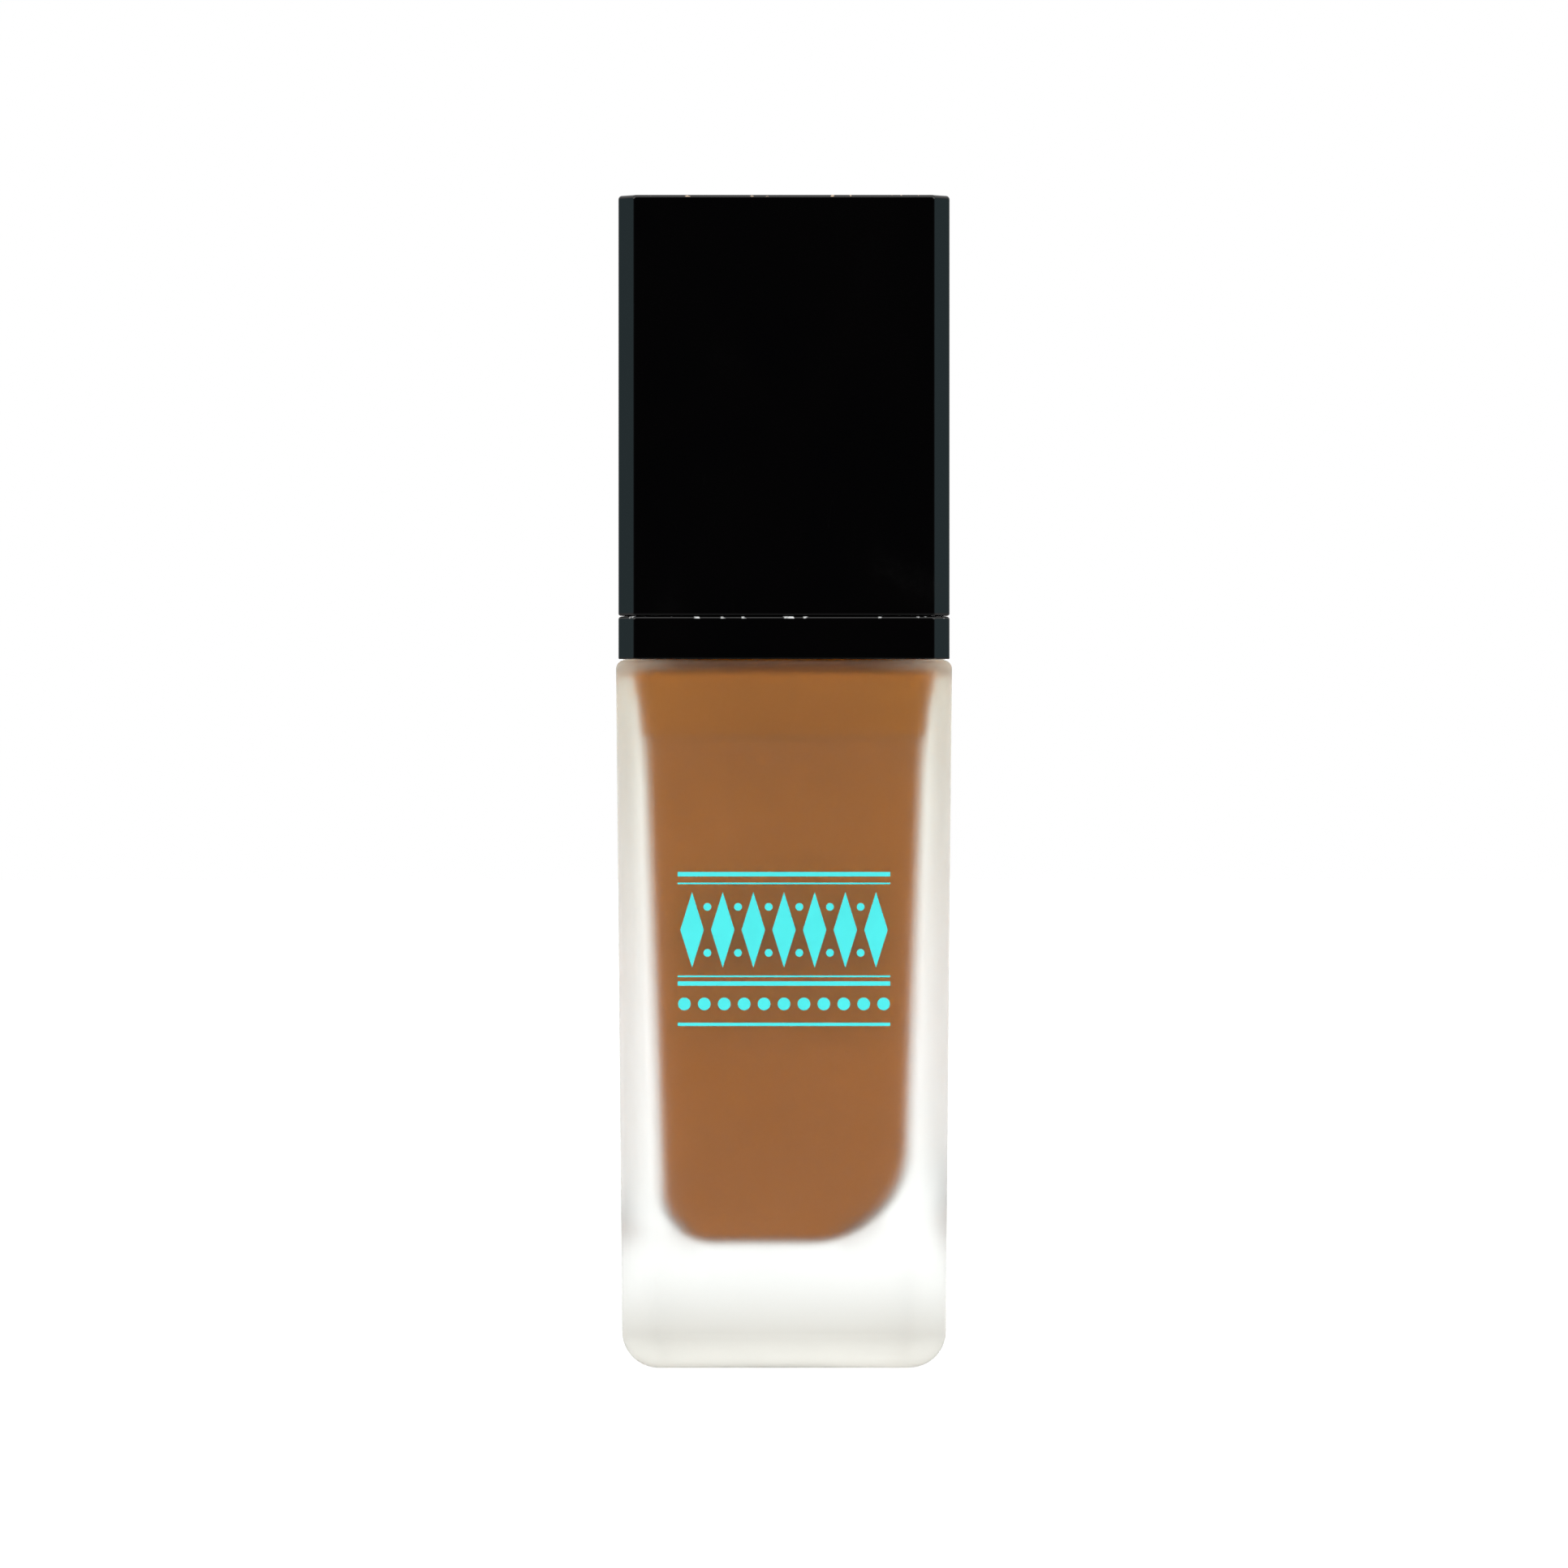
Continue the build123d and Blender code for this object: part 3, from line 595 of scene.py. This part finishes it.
pour = bmesh.new()
pour.from_mesh(nodes["foundation_liquid"].data)
bmesh.ops.remove_doubles(pour, verts=pour.verts, dist=0.0005 * MM)
pour.normal_update()
touching = []
for point in pour.verts:
    under_shoulder = point.co.z > SHOULDER_EDGE
    on_floor_edge = point.co.z < FLOOR_EDGE and abs(point.normal.y) > 0.15
    on_heel = FLATTEST_HEEL < point.normal.z < STEEPEST_HEEL
    on_flare = point.co.z > FLARE_EDGE and abs(point.normal.y) > 0.6
    if under_shoulder or on_flare or on_floor_edge or on_heel:
        touching.append((point, point.normal * WETTING))
for point, push in touching:
    point.co += push
print("points of the filling:", len(pour.verts), "touching the glass:", len(touching))

# %% The filling in the bottle
filling_mesh = bpy.data.meshes.new("foundation_filling")
pour.to_mesh(filling_mesh)
pour.free()
filling_mesh.materials.clear()
filling_mesh.materials.append(liquid)
filling_mesh.shade_smooth()
filling_mesh.set_sharp_from_angle(angle=math.radians(35))
filling = bpy.data.objects.new("foundation_filling", filling_mesh)
bpy.context.scene.collection.objects.link(filling)
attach(filling, "bottle")
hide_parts("foundation_liquid")
print("faces of the filling:", len(filling_mesh.polygons))

# %% [markdown]
# ## Polished black
#
# Cap, collar, pump head and nozzle are black ABS from a polished mould. Such a black has almost no
# colour of its own, about a thousandth, and all its life is in the reflection: sharp where the skin
# is clean, broad and faint where it is smeared. The mirror is kept at less than half the usual
# strength, because these light banks are far brighter than a shop's lights: at full strength the
# black would turn grey from every side but the front. The function makes one version for each piece,
# because each has its own upper edge for the flecks of lint and painted glints, and hands reach some
# more than others.

# %% Polished black
def polished_black(name, smears, edge_height, sparseness, lint_and_glint_colour):
    """Black gloss with smears, hair scratches and dust, and lint with painted glints along one edge.
    """
    material, tree, shader = new_material(name)
    handled = use_group(tree, marks, smears=smears, scratches=1.0, dust=1.0)
    edge_flecks = use_group(tree, lint_and_glint_group, edge_height=edge_height, band=0.22 * MM, sparseness=sparseness)
    lint_and_glint_flecks = edge_flecks["Mask"]
    skin = use_group(tree, drift, cloud_size=14 * MM, contrast=1.4)["Value"]
    black = mix_colours(tree, skin, (0.0008, 0.0008, 0.0010, 1), (0.0014, 0.0012, 0.0012, 1))
    dusty = mix_colours(tree, product(tree, handled["Speck"], 0.10), black, (0.6, 0.58, 0.55, 1))
    # Pale flecks along the top edge: partly lint, partly painted glints.
    feed(tree, shader.inputs["Base Color"], mix_colours(tree, lint_and_glint_flecks, dusty, lint_and_glint_colour))
    dulled = sum_node(tree, "MULTIPLY_ADD", handled["Dulling"], 0.15, 0.06)
    scratched = sum_node(tree, "MULTIPLY_ADD", handled["Scratch"], 0.10, dulled)
    feed(tree, shader.inputs["Roughness"], sum_node(tree, "MULTIPLY_ADD", lint_and_glint_flecks, 0.5, scratched))
    shader.inputs["Specular IOR Level"].default_value = 0.22
    emboss(tree, shader, product(tree, handled["Scratch"], -1.0), 0.001 * MM)
    return material

# %% Cap, collar and pump head
# Colours of the edge flecks, partly lint and partly painted glints; the warm one is on the cap top.
PALE_LINT_AND_GLINT = (0.55, 0.56, 0.56, 1)
WARM_LINT_AND_GLINT = (0.36, 0.27, 0.19, 1)
COLLAR_TOP = 73.85 * MM
cap_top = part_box("overcap_shell")[1].z
head_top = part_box("actuator_shell")[1].z

cap_black = polished_black("black_gloss_cap", 1.0, cap_top, 0.60, WARM_LINT_AND_GLINT)
collar_black = polished_black("black_gloss_collar", 0.5, COLLAR_TOP, 0.60, PALE_LINT_AND_GLINT)
head_black = polished_black("black_gloss_head", 1.4, head_top, 0.80, PALE_LINT_AND_GLINT)
finish_pieces(cap_black, "overcap_shell")
finish_pieces(collar_black, "shoulder_collar")
finish_pieces(head_black, "actuator_shell", "nozzle_spout")

# %% [markdown]
# ## Matt black mouldings
#
# The liner in the cap, the screw closure and the core of the head are never meant to be seen. They
# come from moulds left with their spark-eroded texture, in polypropylene with a few percent of
# carbon black: charcoal rather than black, with a soft broad sheen.

# %% Matt black
moulding, tree, shader = new_material("black_moulding")
sparked = use_group(tree, grain, grain_size=0.12 * MM, unevenness=0.6)["Height"]
flow = use_group(tree, drift, cloud_size=5 * MM, contrast=1.5)["Value"]
rubbed = use_group(tree, marks, smears=0.0, scratches=1.0, dust=1.0)
charcoal = mix_colours(tree, flow, (0.022, 0.022, 0.024, 1), (0.034, 0.034, 0.035, 1))
dusty = mix_colours(tree, rubbed["Speck"], charcoal, (0.30, 0.30, 0.29, 1))
feed(tree, shader.inputs["Base Color"], dusty)
textured = ease(tree, sparked, 0.2, 0.8, 0.48, 0.62)
scratched = sum_node(tree, "MULTIPLY_ADD", rubbed["Scratch"], -0.12, textured)
feed(tree, shader.inputs["Roughness"], scratched)
emboss(tree, shader, sparked, 0.012 * MM)
finish_pieces(moulding, "screw_closure", "actuator_core", "overcap_liner")

# %% [markdown]
# ## Natural polypropylene
#
# The working parts of a lotion pump are moulded without pigment, since nothing may leach into the
# product. The plastic is milky: light goes in, wanders for about a millimetre and comes out again.
# Subsurface scattering does that, with a short radius because the parts themselves are small.

# %% Natural mouldings
milky, tree, shader = new_material("natural_moulding")
flow = use_group(tree, drift, cloud_size=3 * MM, contrast=1.6)["Value"]
skin = use_group(tree, grain, grain_size=0.15 * MM, unevenness=0.5)["Height"]
used = use_group(tree, marks, smears=0.6, scratches=1.0, dust=0.0)
milk = mix_colours(tree, flow, (0.80, 0.80, 0.765, 1), (0.88, 0.885, 0.86, 1))
feed(tree, shader.inputs["Base Color"], milk)
satin = ease(tree, skin, 0.2, 0.8, 0.26, 0.36)
feed(tree, shader.inputs["Roughness"], sum_node(tree, "MULTIPLY_ADD", used["Dulling"], 0.10, satin))
shader.inputs["Subsurface Weight"].default_value = 0.35
shader.inputs["Subsurface Radius"].default_value = (1.0, 0.9, 0.75)
shader.inputs["Subsurface Scale"].default_value = 0.6 * MM
emboss(tree, shader, sum_node(tree, "SUBTRACT", skin, used["Scratch"]), 0.003 * MM)
finish_pieces(milky, "pump_housing", "ball_retainer", "piston_rod", "piston", "stem", "lock_ring")

# %% [markdown]
# ## Dip tube
#
# The tube is extruded polyethylene, so its marks run along it: faint draw lines left by the die.
# Squeezing the texture coordinates along Z turns round noise into such lines.

# %% Dip tube
tubing, tree, shader = new_material("clear_tube")
drawn = tree.nodes.new("ShaderNodeMapping")
drawn.inputs["Scale"].default_value = (1.0, 1.0, 0.02)
tree.links.new(object_place(tree), drawn.inputs["Vector"])
die_lines = noise_at(tree, drawn.outputs[0], 3500.0, 2.0)
tint = use_group(tree, drift, cloud_size=6 * MM, contrast=1.2)["Value"]
hazy = mix_colours(tree, tint, (0.90, 0.915, 0.90, 1), (0.95, 0.955, 0.945, 1))
feed(tree, shader.inputs["Base Color"], hazy)
feed(tree, shader.inputs["Roughness"], ease(tree, die_lines, 0.3, 0.7, 0.22, 0.38))
shader.inputs["Transmission Weight"].default_value = 0.7
shader.inputs["IOR"].default_value = 1.51
emboss(tree, shader, die_lines, 0.004 * MM)
finish_pieces(tubing, "dip_tube")

# %% [markdown]
# ## Spring steel
#
# The return spring is drawn stainless wire, and the valve's ball is ground from the same steel. Both
# are bright, with fine marks left by the die or the stone, and a breath of straw tint where the
# wire was relieved in the furnace.

# %% Spring steel
steel, tree, shader = new_material("spring_steel")
drawn_marks = use_group(tree, grain, grain_size=0.05 * MM, unevenness=0.8)["Height"]
straw = use_group(tree, drift, cloud_size=2 * MM, contrast=1.8)["Value"]
tempered = mix_colours(tree, straw, (0.60, 0.60, 0.61, 1), (0.66, 0.635, 0.59, 1))
feed(tree, shader.inputs["Base Color"], tempered)
feed(tree, shader.inputs["Roughness"], ease(tree, drawn_marks, 0.2, 0.8, 0.14, 0.30))
shader.inputs["Metallic"].default_value = 1.0
emboss(tree, shader, drawn_marks, 0.002 * MM)
finish_pieces(steel, "return_spring", "check_ball")

# %% [markdown]
# ### The spring under the press head
#
# The spring stands on the ball's retainer, and the rod squeezes it by the whole stroke each time the
# head is pressed. A rigid coil would let the rod sink through its upper turns. Here a copy with its
# own mesh stands in for it, hung on the pump, and the original is hidden; the copy keeps its shape.

# %% Spring stand-in
coil = nodes["return_spring"].data.copy()
coil.name = "working_spring"
coil.materials.clear()
coil.materials.append(steel)
spring = bpy.data.objects.new("working_spring", coil)
bpy.context.scene.collection.objects.link(spring)
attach(spring, "pump")
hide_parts("return_spring")
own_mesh(spring)

# %% [markdown]
# ## Foam washer
#
# The washer between the glass and the pump's flange is stamped from closed-cell polyethylene foam.
# Its cut edge and faces show the cells: Voronoi distances, inverted, make a field of little domes.

# %% Foam washer
foam, tree, shader = new_material("washer_foam")
bubbles = tree.nodes.new("ShaderNodeTexVoronoi")
bubbles.inputs["Scale"].default_value = 1.0 / (0.16 * MM)
tree.links.new(object_place(tree), bubbles.inputs["Vector"])
domes = ease(tree, bubbles.outputs["Distance"], 0.0, 0.8, 1.0, 0.0)
aged = use_group(tree, drift, cloud_size=3 * MM, contrast=1.4)["Value"]
yellowed = mix_colours(tree, aged, (0.84, 0.84, 0.80, 1), (0.90, 0.90, 0.88, 1))
feed(tree, shader.inputs["Base Color"], yellowed)
feed(tree, shader.inputs["Roughness"], ease(tree, domes, 0.0, 1.0, 0.75, 0.55))
emboss(tree, shader, domes, 0.03 * MM)
finish_pieces(foam, "neck_gasket")

# %% [markdown]
# ## Printed ornament
#
# The front of such a bottle carries a screen print. This one is a plain traditional band of rules,
# lozenges and beads, in one bright ink. Each shape is a real film of ink, a hundredth of a
# millimetre off the glass and twice as thick, because that is how it catches the light in a close
# view. The front wall leans out a little towards the shoulder, so a helper gives its depth at each
# height, and the shapes are laid along it.

# %% The front wall and one shape of ink
FILM = 0.02 * MM
STAND_OFF = 0.01 * MM
SHOULDER_HALF_WIDTH = 16.5 * MM
FOOT_HALF_WIDTH = 15.9 * MM
BODY_HEIGHT = 69.6 * MM


def front_wall(height):
    """How far the glass reaches to the front at a height."""
    return -(FOOT_HALF_WIDTH + (SHOULDER_HALF_WIDTH - FOOT_HALF_WIDTH) * height / BODY_HEIGHT)


def add_ink(mesh, outline):
    """Adds a closed film of ink with this outline, a list of (x, z) in millimetres."""
    back, front = [], []
    for x, z in outline:
        wall = front_wall(z * MM)
        back.append(mesh.verts.new((x * MM, wall - STAND_OFF, z * MM)))
        front.append(mesh.verts.new((x * MM, wall - STAND_OFF - FILM, z * MM)))
    mesh.faces.new(front)
    mesh.faces.new(back[::-1])
    for start in range(len(outline)):
        end = (start + 1) % len(outline)
        mesh.faces.new((back[start], back[end], front[end], front[start]))

# %% Rules, lozenges and beads
def rule(centre, half_length, half_width):
    """A straight bar across the front."""
    low, high = centre - half_width, centre + half_width
    return [(-half_length, low), (half_length, low), (half_length, high), (-half_length, high)]


def lozenge(x, centre, half_width, half_height):
    """An upright diamond."""
    low, high = centre - half_height, centre + half_height
    return [(x, low), (x + half_width, centre), (x, high), (x - half_width, centre)]


def bead(x, centre, radius, sides=32):
    """A round dot."""
    turns = [math.tau * side / sides for side in range(sides)]
    return [(x + radius * math.cos(turn), centre + radius * math.sin(turn)) for turn in turns]

# %% The band in ink
HALF_LENGTH = 10.4
RULES = ((48.6, 0.22), (47.7, 0.08), (38.6, 0.08), (37.9, 0.22), (33.9, 0.16))
LOZENGE_STEP = 3.0
LOZENGE_ROW = 43.15
LOZENGE_HALF_WIDTH = 1.15
LOZENGE_HALF_HEIGHT = 3.7
SMALL_BEAD_ROWS = (45.4, 40.9)
SMALL_BEAD = 0.38
BEAD_STEP = 1.95
BEAD_ROW = 35.9
BEAD = 0.62

ink_mesh = bmesh.new()
for height, half_width in RULES:
    add_ink(ink_mesh, rule(height, HALF_LENGTH, half_width))
for step in range(-3, 4):
    x = step * LOZENGE_STEP
    add_ink(ink_mesh, lozenge(x, LOZENGE_ROW, LOZENGE_HALF_WIDTH, LOZENGE_HALF_HEIGHT))
for step in range(-3, 3):
    x = (step + 0.5) * LOZENGE_STEP
    for height in SMALL_BEAD_ROWS:
        add_ink(ink_mesh, bead(x, height, SMALL_BEAD))
for step in range(-5, 6):
    add_ink(ink_mesh, bead(step * BEAD_STEP, BEAD_ROW, BEAD))
bmesh.ops.recalc_face_normals(ink_mesh, faces=ink_mesh.faces)
print("faces of ink:", len(ink_mesh.faces))

# %% Ornament on the bottle
film = bpy.data.meshes.new("front_ornament")
ink_mesh.to_mesh(film)
ink_mesh.free()
ornament = bpy.data.objects.new("front_ornament", film)
bpy.context.scene.collection.objects.link(ornament)
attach(ornament, "bottle")

# %% Ink
ink, tree, shader = new_material("print_ink")
laid = use_group(tree, grain, grain_size=0.10 * MM, unevenness=0.8)["Height"]
density = use_group(tree, drift, cloud_size=2.5 * MM, contrast=1.5)["Value"]
cyan = mix_colours(tree, density, (0.076, 0.84, 0.84, 1), (0.084, 0.90, 0.90, 1))
feed(tree, shader.inputs["Base Color"], cyan)
feed(tree, shader.inputs["Roughness"], ease(tree, laid, 0.2, 0.8, 0.38, 0.52))
emboss(tree, shader, laid, 0.004 * MM)
film.materials.append(ink)
